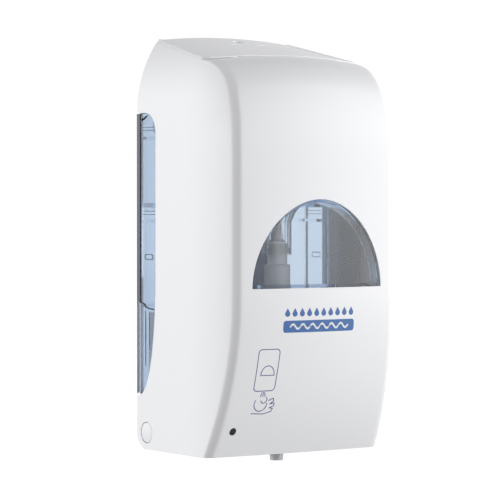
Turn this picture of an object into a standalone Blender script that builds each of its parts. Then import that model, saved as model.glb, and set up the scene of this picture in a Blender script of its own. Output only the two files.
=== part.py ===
"""Wall-mounted no-touch soap dispenser, for Blender 4.5.

The row frame has X to the right as someone facing the dispenser sees it, Y back into the wall and Z up.
Its origin is on the wall face, at the middle of the casing's height. Lengths here are in millimetres, and
heights are measured up from the casing's underside: one empty, underside_datum, carries everything there.
"""

import math

import bmesh
import bpy
from mathutils import Matrix, Vector

MM = 0.001
X_AXIS, Y_AXIS, Z_AXIS = "X", "Y", "Z"

# ---- driving dimensions --------------------------------------------------------------------------
HEIGHT = 256.2  # casing, underside to the top of the roof at the wall
HALF_WIDTH = 65.0
FLANK_DEPTH = 96.8  # wall to the front corner, at mid height
WALL = 2.5  # moulded wall of the cover
GAP = 0.4  # between pieces that only touch
REAR_CLEARANCE = 0.6  # cover's rear edge to the wall

# Casing form
CORNER = 3.0  # flat chamfer between a flank and the front
CROWN = 4.2  # how far the front bulges past that chamfer
FLANK_BEND_START = 55.0  # depth at which a flank starts to turn inwards
FLANK_BEND = 270.0  # twice the radius of that turn
TIGHTEN_START, TIGHTEN_RUN, TIGHTEN = 190.0, 50.0, 0.9  # the turn is tighter towards the roof
SHOULDER_START, SHOULDER_RADIUS = 207.0, 75.0
CHIN_START, CHIN_RADIUS = 94.5, 204.0  # front falls back below this height
BROW_START, BROW_RADIUS = 181.5, 112.0  # front leans back above this height
EDGE_START, EDGE_RADIUS = 216.5, 35.0  # and rolls over into the roof
ROOF_SLOPE, ROOF_DOME = 0.21, 3.0 / 50.0**2
DOME_AT_FLANK = ROOF_DOME * 57.0**2

# Hinge of the cover
PIVOT_Y, PIVOT_Z = -11.5, 10.5
HEEL_RADIUS = 10.9  # the cover's rounded lower rear corner, about the pivot

# Front window
WINDOW_HALF, WINDOW_SILL, WINDOW_RISE = 47.4, 101.0, 53.0
WINDOW_POWER = 1.9  # a D whose sides run a little straighter than an ellipse
SKIRT = 1.8

# Side cut-outs, in which the back body shows
CUT_FOOT, CUT_TOP, CUT_DEPTH, CUT_CORNER = 32.5, 207.0, 22.0, 12.0
CUT_STRAIGHT = 108.0  # the cut-out's front edge is straight above this height

# Indicator lamp's window
LAMP, LAMP_RADIUS = (-50.5, 15.8), 2.0

# Pump column
PUMP_Y = -58.0
BARREL_RADIUS, BARREL_FOOT, BARREL_TOP = 8.0, 46.0, 114.0
FLANGE_RADIUS, FLANGE_FOOT, FLANGE_TOP = 8.6, 27.0, 29.6
NOZZLE_FOOT = -6.2

# Drive
RACK_PITCH_X, RACK_MODULE = 18.8, 1.0
PINION_TEETH = 12
OUTPUT_X, OUTPUT_Z = RACK_PITCH_X + PINION_TEETH * RACK_MODULE / 2, 46.0
TRAIN_MODULE = 0.8
OUTPUT_TEETH, COMPOUND_SMALL, COMPOUND_BIG, MOTOR_TEETH = 36, 10, 30, 9
COMPOUND_ANGLE = math.radians(26)  # from the output shaft up to the compound gear
MOTOR_ANGLE = math.radians(-90)  # from the compound gear down to the motor
PRESSURE = math.radians(20)

# Batteries
CELL_RADIUS, CELL_FOOT, CELL_LENGTH, CELL_PITCH, CELL_Y = 7.1, 27.0, 50.0, 16.0, -17.5

# Tank
TANK_HALF, TANK_REAR, TANK_FRONT, TANK_FOOT, TANK_TOP = 54.0, -10.0, -80.0, 152.0, 216.0
TANK_WALL = 2.0
NECK_RADIUS, NECK_FOOT = 9.0, 120.0
FILLER_Y, FILLER_RADIUS = -36.0, 16.0

# Lock
LOCK_Y, LOCK_RADIUS = -17.0, 3.7
BOSS_FOOT, BOSS_TOP = 243.4, 250.0  # block under the roof that the lock turns in

# ---- materials: name: (colour, roughness, metallic, transmission) --------------------------------
FINISHES = {
    "white_abs": ((0.86, 0.86, 0.88), 0.28, 0.0, 0.0),
    "smoke_blue": ((0.36, 0.46, 0.60), 0.10, 0.0, 0.9),
    "window_tint": ((0.33, 0.40, 0.50), 0.06, 0.0, 0.9),
    "clear_tank": ((0.70, 0.78, 0.86), 0.12, 0.0, 0.9),
    "white_pp": ((0.82, 0.84, 0.86), 0.40, 0.0, 0.0),
    "frosted_silicone": ((0.80, 0.81, 0.82), 0.45, 0.0, 0.4),
    "grey_abs": ((0.42, 0.44, 0.47), 0.45, 0.0, 0.0),
    "black_lens": ((0.01, 0.01, 0.012), 0.12, 0.0, 0.0),
    "steel": ((0.66, 0.67, 0.69), 0.28, 1.0, 0.0),
    "acetal": ((0.80, 0.76, 0.62), 0.42, 0.0, 0.0),
    "board_green": ((0.03, 0.20, 0.09), 0.45, 0.0, 0.0),
    "cell_sleeve": ((0.10, 0.16, 0.30), 0.35, 0.2, 0.0),
    "red_wire": ((0.55, 0.03, 0.03), 0.45, 0.0, 0.0),
    "black_wire": ((0.02, 0.02, 0.02), 0.45, 0.0, 0.0),
}
materials = {}


def material(finish):
    if finish not in materials:
        colour, roughness, metallic, transmission = FINISHES[finish]
        made = bpy.data.materials.new(finish)
        made.use_nodes = True
        shader = made.node_tree.nodes["Principled BSDF"]
        shader.inputs["Base Color"].default_value = (*colour, 1.0)
        shader.inputs["Roughness"].default_value = roughness
        shader.inputs["Metallic"].default_value = metallic
        shader.inputs["Transmission Weight"].default_value = transmission
        materials[finish] = made
    return materials[finish]


# ---- shape tools ---------------------------------------------------------------------------------
def place(name, mesh_shape, finish=None, origin=(0, 0, 0)):
    """Makes an object of a bmesh drawn in millimetres from the datum, with its own origin at origin."""
    bmesh.ops.recalc_face_normals(mesh_shape, faces=mesh_shape.faces)
    bmesh.ops.translate(mesh_shape, vec=-Vector(origin), verts=mesh_shape.verts)
    bmesh.ops.scale(mesh_shape, vec=Vector((MM, MM, MM)), verts=mesh_shape.verts)
    mesh = bpy.data.meshes.new(name)
    mesh_shape.to_mesh(mesh)
    mesh_shape.free()
    made = bpy.data.objects.new(name, mesh)
    bpy.context.scene.collection.objects.link(made)
    made.parent = datum
    made.location = Vector(origin) * MM
    if finish:
        mesh.materials.append(material(finish))
        mesh.shade_smooth()
        mesh.set_sharp_from_angle(angle=math.radians(35))
    else:
        made.hide_render = True
        made.display_type = "WIRE"
    return made


def box(low, high):
    shape = bmesh.new()
    bmesh.ops.create_cube(shape, size=1.0)
    low, high = Vector(low), Vector(high)
    bmesh.ops.scale(shape, vec=high - low, verts=shape.verts)
    bmesh.ops.translate(shape, vec=(low + high) / 2, verts=shape.verts)
    return shape


def lay(points, axis, along):
    """Flat points placed on a plane across an axis: X takes (y, z), Y takes (x, z) and Z takes (x, y)."""
    if axis == X_AXIS:
        return [Vector((along, a, b)) for a, b in points]
    if axis == Y_AXIS:
        return [Vector((a, along, b)) for a, b in points]
    return [Vector((a, b, along)) for a, b in points]


def prism(outline, axis, start, end):
    """A closed outline extruded along an axis from start to end."""
    shape = bmesh.new()
    face = shape.faces.new([shape.verts.new(p) for p in lay(outline, axis, start)])
    grown = bmesh.ops.extrude_face_region(shape, geom=[face])["geom"]
    step = lay([(0, 0)], axis, end - start)[0]
    bmesh.ops.translate(shape, vec=step, verts=[v for v in grown if isinstance(v, bmesh.types.BMVert)])
    return shape


def circle(centre, radius, count, start=0.0, turn=2 * math.pi):
    whole = abs(turn) > 6.28
    steps = count if whole else count - 1
    angles = [start + turn * i / steps for i in range(count)]
    return [(centre[0] + radius * math.cos(a), centre[1] + radius * math.sin(a)) for a in angles]


def turned(profile, centre, axis=Z_AXIS, count=24):
    """A profile of (radius, place along the axis) spun about an axis through centre."""
    shape = bmesh.new()
    verts = [shape.verts.new((radius, 0, along)) for radius, along in profile]
    closed = all(radius > 0 for radius, _ in profile)
    pairs = list(zip(verts, verts[1:])) + ([(verts[-1], verts[0])] if closed else [])
    edges = [shape.edges.new(pair) for pair in pairs]
    bmesh.ops.spin(
        shape,
        geom=verts + edges,
        cent=(0, 0, 0),
        axis=(0, 0, 1),
        angle=2 * math.pi,
        steps=count,
        use_merge=True,
    )
    bmesh.ops.remove_doubles(shape, verts=shape.verts, dist=1e-4)
    if axis == X_AXIS:
        bmesh.ops.rotate(shape, matrix=Matrix.Rotation(math.pi / 2, 3, "Y"), verts=shape.verts)
    if axis == Y_AXIS:
        bmesh.ops.rotate(shape, matrix=Matrix.Rotation(-math.pi / 2, 3, "X"), verts=shape.verts)
    bmesh.ops.translate(shape, vec=Vector(centre), verts=shape.verts)
    return shape


def rod(low, high, radius, axis, centre, count=20):
    """A plain round bar between two places along an axis; centre is its point on the plane across."""
    middle = lay([centre], axis, 0)[0]
    return turned([(0, low), (radius, low), (radius, high), (0, high)], middle, axis, count)


def combine(operation, target, tools):
    for tool in tools:
        added = target.modifiers.new(operation.lower(), "BOOLEAN")
        added.operation = operation
        added.object = tool


def join(target, *shapes):
    tools = [place(f"{target.name}_with_{i}", shape) for i, shape in enumerate(shapes)]
    combine("UNION", target, tools)


def cut(target, *shapes):
    tools = [place(f"{target.name}_less_{len(target.modifiers)}_{i}", s) for i, s in enumerate(shapes)]
    combine("DIFFERENCE", target, tools)


def rounded(low, high, radius, corner=5):
    """Outline of a rectangle with round corners."""
    points = []
    corners = ((high[0], high[1]), (low[0], high[1]), (low[0], low[1]), (high[0], low[1]))
    for index, (x, y) in enumerate(corners):
        centre = (x - math.copysign(radius, x - (low[0] + high[0]) / 2),
                  y - math.copysign(radius, y - (low[1] + high[1]) / 2))
        points += circle(centre, radius, corner, index * math.pi / 2, math.pi / 2)
    return points


# ---- the casing's outer form ---------------------------------------------------------------------
def arc_fall(radius, run):
    """How far a circle of that radius has fallen away after a run along its tangent."""
    return radius - math.sqrt(max(radius * radius - run * run, 0.0))


def half_width(height):
    return HALF_WIDTH - arc_fall(SHOULDER_RADIUS, max(height - SHOULDER_START, 0.0))


def flank_depth(height):
    """Depth of the front corner below the wall plane, before the crown and the corner chamfer."""
    if height < CHIN_START:
        return FLANK_DEPTH - arc_fall(CHIN_RADIUS, CHIN_START - height)
    brow = arc_fall(BROW_RADIUS, min(max(height - BROW_START, 0.0), EDGE_START - BROW_START))
    if height <= EDGE_START:
        return FLANK_DEPTH - brow
    lean = math.asin((EDGE_START - BROW_START) / BROW_RADIUS)
    roll = min(math.sin(lean) + (height - EDGE_START) / EDGE_RADIUS, 1.0)
    return FLANK_DEPTH - brow - EDGE_RADIUS * (math.cos(lean) - math.sqrt(1 - roll * roll))


def flank_bend(depth, height):
    """How far a flank has turned inwards at a depth. The turn tightens a little towards the roof."""
    tighter = TIGHTEN * min(max((height - TIGHTEN_START) / TIGHTEN_RUN, 0.0), 1.0)
    return (1 + tighter) * max(depth - FLANK_BEND_START, 0.0) ** 2 / FLANK_BEND


def section(station, height, inset, rear):
    """(x, y) on the left half at a height. Stations 0 to 1 run along the flank, 1 to 2 over the front."""
    corner_depth = flank_depth(height) - inset
    if station <= 1:
        depth = corner_depth * station if station else -rear
        return -(half_width(height) - flank_bend(depth, height) - inset), -depth
    edge = half_width(height) - flank_bend(corner_depth, height) - inset - CORNER
    share = 2 - station
    x = -edge * share
    depth = flank_depth(height - DOME_AT_FLANK + ROOF_DOME * x * x) - inset + CORNER
    return x, -(depth + CROWN * (1 - share * share))


def roof(x, y):
    return HEIGHT + ROOF_SLOPE * y - ROOF_DOME * x * x


def crease_height(station, inset, rear):
    """Height at which the wrap meets the roof, by halving."""
    low, high = 190.0, HEIGHT
    for _ in range(40):
        middle = (low + high) / 2
        x, y = section(station, middle, inset, rear)
        if middle < roof(x, y) - inset:
            low = middle
        else:
            high = middle
    return low


FLANK_STATIONS = [0, 0.3, 0.55, 0.7, 0.85, 1]
FRONT_STATIONS = [1.0001, 1.12, 1.3, 1.5, 1.75, 2]
LOW_ROWS = [0, 16, 34, 54, 74, 94.5, 138, 181.5, 193, 205, 214]
HIGH_START = 214.0
HIGH_SHARES = [0.2, 0.4, 0.58, 0.74, 0.87, 1]
ROOF_STEPS = 8


def casing_block(inset, rear, foot):
    """The casing's form as one solid, all its walls moved in by inset, from rear (a y) down to foot (a z)."""
    stations = FLANK_STATIONS + FRONT_STATIONS
    shape = bmesh.new()
    columns = []
    for station in stations:
        top = crease_height(station, inset, rear)
        heights = [max(row, foot) for row in LOW_ROWS]
        heights += [HIGH_START + share * (top - HIGH_START) for share in HIGH_SHARES]
        column = []
        for height in heights:
            column.append(Vector((*section(station, height, inset, rear), height)))
        columns.append(column)
    columns += [[Vector((-p.x, p.y, p.z)) for p in column] for column in columns[-2::-1]]
    grid = [[shape.verts.new(p) for p in column] for column in columns]
    for left, right in zip(grid, grid[1:]):
        for low in range(len(left) - 1):
            shape.faces.new([left[low], right[low], right[low + 1], left[low + 1]])
    middle = len(columns) // 2
    strips = []
    for index in range(middle):
        left, right = grid[index][-1], grid[-1 - index][-1]
        across = [left]
        for step in range(1, ROOF_STEPS):
            x = left.co.x + (right.co.x - left.co.x) * step / ROOF_STEPS
            across.append(shape.verts.new((x, left.co.y, roof(x, left.co.y) - inset)))
        strips.append(across + [right])
    for near, far in zip(strips, strips[1:]):
        for step in range(ROOF_STEPS):
            shape.faces.new([near[step], near[step + 1], far[step + 1], far[step]])
    tip = grid[middle][-1]
    for step in range(ROOF_STEPS):
        shape.faces.new([strips[-1][step], strips[-1][step + 1], tip])
    shape.faces.new([column[0] for column in grid])
    shape.faces.new(grid[0] + strips[0][1:-1] + grid[-1][::-1])
    bmesh.ops.remove_doubles(shape, verts=shape.verts, dist=1e-4)
    return shape


def window_outline(inset, count=25):
    """The D of the front window, moved in by inset."""
    half, rise = WINDOW_HALF - inset, WINDOW_RISE - 2 * inset
    power = 2 / WINDOW_POWER
    arch = []
    for index in range(count):
        angle = math.pi * index / (count - 1)
        x, z = math.cos(angle), math.sin(angle)
        across = half * math.copysign(abs(x) ** power, x)
        arch.append((across, WINDOW_SILL + inset + rise * max(z, 0) ** power))
    return arch


def cut_out_outline(inset):
    """Side cut-out, open at the wall: (y, z) points, moved in by inset."""
    front, top, foot = -CUT_DEPTH + inset, CUT_TOP - inset, CUT_FOOT + inset
    sweep = [(front * math.sin(a) ** 0.8, foot + (CUT_STRAIGHT - foot) * (1 - math.cos(a)))
             for a in (math.pi / 2 * i / 8 for i in range(9))]
    corner = circle((front + CUT_CORNER, top - CUT_CORNER), CUT_CORNER, 6, math.pi, -math.pi / 2)
    return sweep + corner + [(0.0, top)]


# ---- start: an empty scene and the datum ---------------------------------------------------------
for old in list(bpy.data.objects):
    bpy.data.objects.remove(old)
datum = bpy.data.objects.new("underside_datum", None)
bpy.context.scene.collection.objects.link(datum)
datum.location = (0, 0, -HEIGHT / 2 * MM)


# ---- cover and what rides on it ------------------------------------------------------------------
def make_cover():
    pivot = (0, PIVOT_Y, PIVOT_Z)
    cover = place("cover", casing_block(0, -REAR_CLEARANCE, 0), "white_abs", pivot)
    cut(cover, casing_block(WALL, 8, WALL))
    join(cover, box((-13, -27, BOSS_FOOT), (13, -7, BOSS_TOP)))
    cut(cover, rod(240, 260, LOCK_RADIUS + GAP, Z_AXIS, (0, LOCK_Y)))
    outside_heel = [(PIVOT_Y, -5), (20, -5), (20, PIVOT_Z), (PIVOT_Y + HEEL_RADIUS, PIVOT_Z)]
    outside_heel += circle((PIVOT_Y, PIVOT_Z), HEEL_RADIUS, 9, 0, -math.pi / 2)[1:]
    cut(cover, prism(outside_heel, X_AXIS, -80, 80))
    side_cut = cut_out_outline(0)
    cut(cover, prism([(20, CUT_FOOT - 0.01)] + side_cut + [(20, CUT_TOP)], X_AXIS, -80, 80))
    cut(cover, prism(window_outline(0), Y_AXIS, -130, -80))
    cut(cover, rod(-80, 80, 6.6, X_AXIS, (PIVOT_Y, PIVOT_Z), 28))
    cut(cover, rod(-100, -70, LAMP_RADIUS + 0.3, Y_AXIS, LAMP, 16))
    cut(cover, box((-27, -74, -5), (27, -38, 8)))


def make_window():
    blank = prism(window_outline(0.3), Y_AXIS, -112, -92)
    pane = place("window", blank, "window_tint", (0, PIVOT_Y, PIVOT_Z))
    combine("INTERSECT", pane, [place("window_face", casing_block(0.3, 8, WALL))])
    hollow = place("window_hollow", prism(window_outline(0.3 + SKIRT), Y_AXIS, -112, -85))
    combine("INTERSECT", hollow, [place("window_back", casing_block(0.3 + SKIRT, 8, WALL))])
    combine("DIFFERENCE", pane, [hollow])


def make_status_lens():
    blank = rod(-88, -72, LAMP_RADIUS, Y_AXIS, LAMP, 16)
    lens = place("status_lens", blank, "black_lens", (0, PIVOT_Y, PIVOT_Z))
    combine("INTERSECT", lens, [place("lens_face", casing_block(0.15, 8, WALL))])


def make_pivot_pins():
    for side, name in ((-1, "pivot_pin_left"), (1, "pivot_pin_right")):
        profile = [(0, 56.2), (3.9, 56.2), (3.9, 62.4), (6.2, 62.4), (6.2, 64.7), (5.8, HALF_WIDTH)]
        profile.append((0, HALF_WIDTH))
        profile = [(radius, side * along) for radius, along in profile]
        place(name, turned(profile, (0, PIVOT_Y, PIVOT_Z), X_AXIS, 28), "white_abs")


def make_lock():
    axis = (0, LOCK_Y, 0)
    collar, face, slot = 5.6, 251.2, (2.3, 0.6)
    profile = [(0, 238.3), (LOCK_RADIUS, 238.3), (LOCK_RADIUS, 240.4), (collar, 240.4),
               (collar, BOSS_FOOT - GAP), (LOCK_RADIUS, BOSS_FOOT - GAP), (LOCK_RADIUS, face - 0.3),
               (LOCK_RADIUS - 0.3, face), (0, face)]
    barrel = place("lock_barrel", turned(profile, axis), "white_pp", (0, LOCK_Y, 245))
    cut(barrel, box((-slot[0], LOCK_Y - slot[1], 247), (slot[0], LOCK_Y + slot[1], 256)))
    arm = [(3.5, LOCK_Y - 3.5), (3.5, LOCK_Y + 3.5), (-11.4, LOCK_Y + 2.4), (-11.4, LOCK_Y - 2.4)]
    cam = place("lock_cam", prism(arm, Z_AXIS, 235.6, 238.0), "steel", (0, LOCK_Y, 245))
    join(cam, box((-11.4, LOCK_Y - 2.2, 237.5), (-9.2, LOCK_Y + 2.2, 242.4)))


# ---- back body -----------------------------------------------------------------------------------
PLATE = 3.5
PLATE_FOOT = 22.0
EAR_INSIDE, EAR_OUTSIDE = 56.4, 60.4
SLOT_X, SLOT_LOW, SLOT_HIGH, SLOT_RADIUS, SLOT_RUN = 44.0, 58.0, 200.0, 2.7, 5.0
PAD, PAD_RISE = (8.4, 6.2), 1.0  # raised pad round a wall slot: half its width and height, and its rise
RIB_HEIGHTS = (88.5, 140.5, 191.5)
FLANK_OUTSIDE, RIM_FOOT = 62.0, 33.8
CHASSIS_SCREWS = [(side * 49.0, height) for side in (-1, 1) for height in (34.0, 76.0)]


def plate_outline():
    rows = [PLATE_FOOT, 100, 160, 207, 216, 225, 233, 240, 246]
    right = [(half_width(z) - WALL - GAP, z) for z in rows]
    edge = right[-1][0]
    across = [edge * share for share in (0.85, 0.5, 0, -0.5, -0.85)]
    crown = [(x, roof(x, -PLATE) - WALL - 1.5 * GAP) for x in across]
    return right + crown + [(-x, z) for x, z in right[::-1]]


def make_back_body():
    body = place("back_body", prism(plate_outline(), Y_AXIS, -PLATE, 0), "smoke_blue")
    for side in (-1, 1):
        near, far = sorted((side * 59.6, side * FLANK_OUTSIDE))
        join(body, box((near, -27, 31), (far, -2, 208)))
        near, far = sorted((side * 58, side * (HALF_WIDTH - 0.3)))
        rim = [(0, RIM_FOOT), (-3.2, RIM_FOOT + 1.6), (-3.2, CUT_TOP - 0.6), (0, CUT_TOP - 0.6)]
        join(body, prism(rim, X_AXIS, near, far))
        for height in RIB_HEIGHTS:
            inner, outer = sorted((side * 54.6, side * 60.2))
            join(body, box((inner, -24, height - 0.9), (outer, -3, height + 0.9)))
        inner, outer = sorted((side * 45, side * 60.2))
        join(body, box((inner, -26.5, 148.8), (outer, -3, 151.6)))
        inner, outer = sorted((side * EAR_INSIDE, side * EAR_OUTSIDE))
        ear = [(PIVOT_Y + 3.5, 36), (PIVOT_Y + 3.5, PIVOT_Z), (PIVOT_Y - 7, PIVOT_Z), (PIVOT_Y - 7, 36)]
        heel = circle((PIVOT_Y, PIVOT_Z), 7.0, 9, math.pi, math.pi)
        ear_outline = [ear[3]] + heel + [(PIVOT_Y + 7, 22.6), (-2, 22.6), (-2, 36)]
        join(body, prism(ear_outline, X_AXIS, inner, outer))
        cut(body, rod(side * 50, side * 62, 4.2, X_AXIS, (PIVOT_Y, PIVOT_Z)))
        for height in (SLOT_LOW, SLOT_HIGH):
            x = side * SLOT_X
            pad = rounded((x - PAD[0], height - PAD[1]), (x + PAD[0], height + PAD[1]), 3)
            join(body, prism(pad, Y_AXIS, -PLATE - PAD_RISE, -PLATE + 1))
            reach = SLOT_RUN - SLOT_RADIUS
            slot = circle((x + reach, height), SLOT_RADIUS, 9, -math.pi / 2, math.pi)
            slot += circle((x - reach, height), SLOT_RADIUS, 9, math.pi / 2, math.pi)
            cut(body, prism(slot, Y_AXIS, -10, 5))
    for x, z in CHASSIS_SCREWS:
        cut(body, rod(-10, 5, 1.8, Y_AXIS, (x, z), 12))


def make_keeper():
    """Hook behind which the lock's cam turns: a lip in front of the cam's tip, on a foot on the plate."""
    outline = [(14.4, -3.9), (12.6, -3.9), (12.6, -8.4), (-2.6, -8.4), (-2.6, -10.0), (14.4, -10.0)]
    place("latch_keeper", prism(outline, Z_AXIS, 238.6, 242.9), "steel")


# ---- chassis -------------------------------------------------------------------------------------
SHELF_FOOT, SHELF_TOP = 86.0, 89.0


def make_chassis():
    """Tray under the works, with side walls, screw tabs to the back body, and a shelf that holds the pump."""
    floor = [(-56, -12.5), (-56, -66), (-50, -71), (50, -71), (56, -66), (56, -12.5)]
    chassis = place("chassis", prism(floor, Z_AXIS, 5, 8), "grey_abs")
    for side in (-1, 1):
        inner, outer = sorted((side * 53, side * 56))
        join(chassis, box((inner, -60, 7), (outer, -12.5, 87.2)))
        join(chassis, box((inner, -14, 26), (outer, -4, 84)))
        tab_in, tab_out = sorted((side * 43, side * 54))
        for height in (34, 76):
            join(chassis, box((tab_in, -6.4, height - 5), (tab_out, -4, height + 5)))
    join(chassis, box((-56, -72, SHELF_FOOT), (56, -33, SHELF_TOP)))
    cut(chassis, rod(80, 95, BARREL_RADIUS + GAP, Z_AXIS, (0, PUMP_Y)))
    cut(chassis, rod(0, 12, 8.0, Z_AXIS, (0, PUMP_Y)))
    cut(chassis, box((-17, -75, 0), (17, -66.5, 12)))
    cut(chassis, box((17.5, -73, 80), (54, -44, 95)))
    for x, z in CHASSIS_SCREWS:
        cut(chassis, rod(-10, 5, 1.8, Y_AXIS, (x, z), 12))


def screw(name, tip, length, axis, head_side, head_radius=2.8, shank_radius=1.4):
    """A pan-head screw: tip is the shank's far end, head_side +1 or -1 the way the head faces."""
    across = {X_AXIS: (tip[1], tip[2]), Y_AXIS: (tip[0], tip[2]), Z_AXIS: (tip[0], tip[1])}[axis]
    start = {X_AXIS: tip[0], Y_AXIS: tip[1], Z_AXIS: tip[2]}[axis]
    ends = [0, 1.0, length, length, length + 1.2, length + 2.0]
    radii = [0.4, shank_radius, shank_radius, head_radius, head_radius, head_radius - 0.9]
    profile = [(0, start)] + [(r, start + head_side * e) for r, e in zip(radii, ends)]
    profile.append((0, start + head_side * (length + 2.0)))
    made = place(name, turned(profile, lay([across], axis, 0)[0], axis, 14), "steel")
    face = start + head_side * (length + 2.0)
    blades = []
    for wide, tall in ((3.2, 0.7), (0.7, 3.2)):
        low = [across[0] - wide / 2, across[1] - tall / 2]
        high = [across[0] + wide / 2, across[1] + tall / 2]
        depth = sorted((face - head_side * 1.1, face + head_side * 2))
        corners = [lay([low], axis, depth[0])[0], lay([high], axis, depth[1])[0]]
        blades.append(box(*corners))
    cut(made, *blades)


def make_chassis_screws():
    for index, (x, z) in enumerate(CHASSIS_SCREWS):
        screw(f"chassis_screw_{index + 1}", (x, -1.0, z), 5.8, Y_AXIS, -1)


# ---- tank ----------------------------------------------------------------------------------------
def make_tank():
    outer = rounded((-TANK_HALF, TANK_FRONT), (TANK_HALF, TANK_REAR), 14, 6)
    half = TANK_HALF - TANK_WALL
    inner = rounded((-half, TANK_FRONT + TANK_WALL), (half, TANK_REAR - TANK_WALL), 12, 6)
    tank = place("tank", prism(outer, Z_AXIS, TANK_FOOT, TANK_TOP), "clear_tank")
    neck = [(0, NECK_FOOT), (NECK_RADIUS, NECK_FOOT), (NECK_RADIUS, 140), (11, 145), (17, TANK_FOOT + 1),
            (0, TANK_FOOT + 1)]
    filler = rod(TANK_TOP - 1, TANK_TOP + 5, FILLER_RADIUS, Z_AXIS, (0, FILLER_Y), 28)
    join(tank, turned(neck, (0, PUMP_Y, 0)), filler)
    cut(tank, prism(inner, Z_AXIS, TANK_FOOT + TANK_WALL, TANK_TOP - TANK_WALL))
    bore = [(0, NECK_FOOT - 5), (NECK_RADIUS - 1.4, NECK_FOOT - 5), (NECK_RADIUS - 1.4, 141), (9.4, 146.4),
            (15, TANK_FOOT + TANK_WALL + 1), (0, TANK_FOOT + TANK_WALL + 1)]
    mouth = rod(TANK_TOP - 5, TANK_TOP + 9, FILLER_RADIUS - 2, Z_AXIS, (0, FILLER_Y), 28)
    cut(tank, turned(bore, (0, PUMP_Y, 0)), mouth)


def make_tank_cap():
    top, foot, roof_inside = TANK_TOP + 8.6, TANK_TOP + 0.6, TANK_TOP + 5.6
    outside, inside = FILLER_RADIUS + 2.4, FILLER_RADIUS + 0.5
    profile = [(0, top), (outside - 0.8, top), (outside, top - 0.8), (outside, foot), (inside, foot),
               (inside, roof_inside), (0, roof_inside)]
    axis = (0, FILLER_Y, 0)
    cap = place("tank_cap", turned(profile, axis, count=32), "white_pp", (0, FILLER_Y, TANK_TOP))
    join(cap, box((-12, FILLER_Y - 1.5, top - 0.5), (12, FILLER_Y + 1.5, top + 4.0)))


def make_neck_seal():
    seal = [(6.45, 121.2), (7.3, 121.2), (7.3, 124.2), (6.45, 124.2)]
    place("neck_seal", turned(seal, (0, PUMP_Y, 0), count=24), "frosted_silicone")


# ---- pump ----------------------------------------------------------------------------------------
def make_pump():
    """Pump barrel, inlet valve and tank spike, in one column, and the clamp that holds it to the shelf."""
    centre = (0, PUMP_Y, 0)
    bore, inlet, flange = 6.3, 2.2, 13
    flange_foot, flange_top = SHELF_TOP + GAP, SHELF_TOP + 2.6
    barrel = [(bore, BARREL_FOOT), (BARREL_RADIUS, BARREL_FOOT), (BARREL_RADIUS, flange_foot),
              (flange, flange_foot), (flange, flange_top), (BARREL_RADIUS, flange_top),
              (BARREL_RADIUS, BARREL_TOP - 0.6), (BARREL_RADIUS - 0.6, BARREL_TOP), (inlet, BARREL_TOP),
              (inlet, BARREL_TOP - 3), (bore, BARREL_TOP - 3)]
    place("pump_barrel", turned(barrel, centre, count=32), "white_pp")
    collar = [(2.2, 114.4), (6.2, 114.4), (6.2, 126.4), (5.7, 127), (1.6, 127), (1.6, 124.5), (4.2, 124.5),
              (4.2, 117.6), (2.2, 116.2)]
    place("valve_housing", turned(collar, centre, count=28), "white_pp")
    spike = [(1.0, 127.4), (4.6, 127.4), (4.6, 128.4), (3.6, 129.4), (2.2, 141), (1.7, 144.4), (1.0, 144.4)]
    place("inlet_spike", turned(spike, centre, count=20), "white_pp")
    angles = [math.pi * step / 8 for step in range(9)]
    ball = [(2.55 * math.sin(angle), 119.9 - 2.55 * math.cos(angle)) for angle in angles]
    ball[0], ball[-1] = (0, ball[0][1]), (0, ball[-1][1])
    place("inlet_ball", turned(ball, centre, count=14), "steel", (0, PUMP_Y, 119.9))
    low, high = SHELF_TOP + 3.0, SHELF_TOP + 4.8
    clamp = place("pump_clamp", prism(circle((0, PUMP_Y), 16.5, 28), Z_AXIS, low, high), "grey_abs")
    join(clamp, prism(rounded((-24, PUMP_Y - 6), (24, PUMP_Y + 6), 5.9), Z_AXIS, low, high))
    cut(clamp, rod(85, 100, BARREL_RADIUS + GAP, Z_AXIS, (0, PUMP_Y), 28))


def make_piston():
    """Hollow piston with its spring flange and two sealing lips, and the soft tip that the soap leaves by."""
    bore, rod_radius, lip = 1.3, 4.0, 5.9
    stem = [(bore, -3.2), (2.9, -3.2), (2.9, 9), (rod_radius, 9.6), (rod_radius, FLANGE_FOOT),
            (FLANGE_RADIUS, FLANGE_FOOT), (FLANGE_RADIUS, FLANGE_TOP), (rod_radius, FLANGE_TOP),
            (rod_radius, 58), (lip, 59), (lip, 62), (4.6, 63), (4.6, 66), (lip, 67), (lip, 70), (bore, 70)]
    place("pump_piston", turned(stem, (0, PUMP_Y, 0), count=28), "white_pp", (0, PUMP_Y, 0))
    tip = [(1.6, NOZZLE_FOOT), (3.6, NOZZLE_FOOT), (4.1, NOZZLE_FOOT + 0.6), (4.1, 8.6), (3.2, 8.6),
           (3.2, -3.8), (1.6, -4.6)]
    place("nozzle_tip", turned(tip, (0, PUMP_Y, 0), count=28), "frosted_silicone", (0, PUMP_Y, 0))


def coil_points(radius, foot, top, turns, per_turn=12):
    """A compression spring's centre line, with closed end turns."""
    count = int(turns * per_turn)
    points = []
    for index in range(count + 1):
        share = index / count
        rise = min(max((share - 0.12) / 0.76, 0.0), 1.0)
        angle = 2 * math.pi * turns * share
        points.append((radius * math.cos(angle), radius * math.sin(angle), foot + (top - foot) * rise))
    return points


def tube(name, points, radius, finish, origin=(0, 0, 0), resolution=2):
    curve = bpy.data.curves.new(name, "CURVE")
    curve.dimensions = "3D"
    curve.bevel_depth = radius * MM
    curve.bevel_resolution = resolution
    curve.use_fill_caps = True
    spline = curve.splines.new("POLY")
    spline.points.add(len(points) - 1)
    for point, place_mm in zip(spline.points, points):
        point.co = (*((Vector(place_mm) - Vector(origin)) * MM), 1)
    curve.materials.append(material(finish))
    made = bpy.data.objects.new(name, curve)
    bpy.context.scene.collection.objects.link(made)
    made.parent = datum
    made.location = Vector(origin) * MM
    return made


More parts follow.
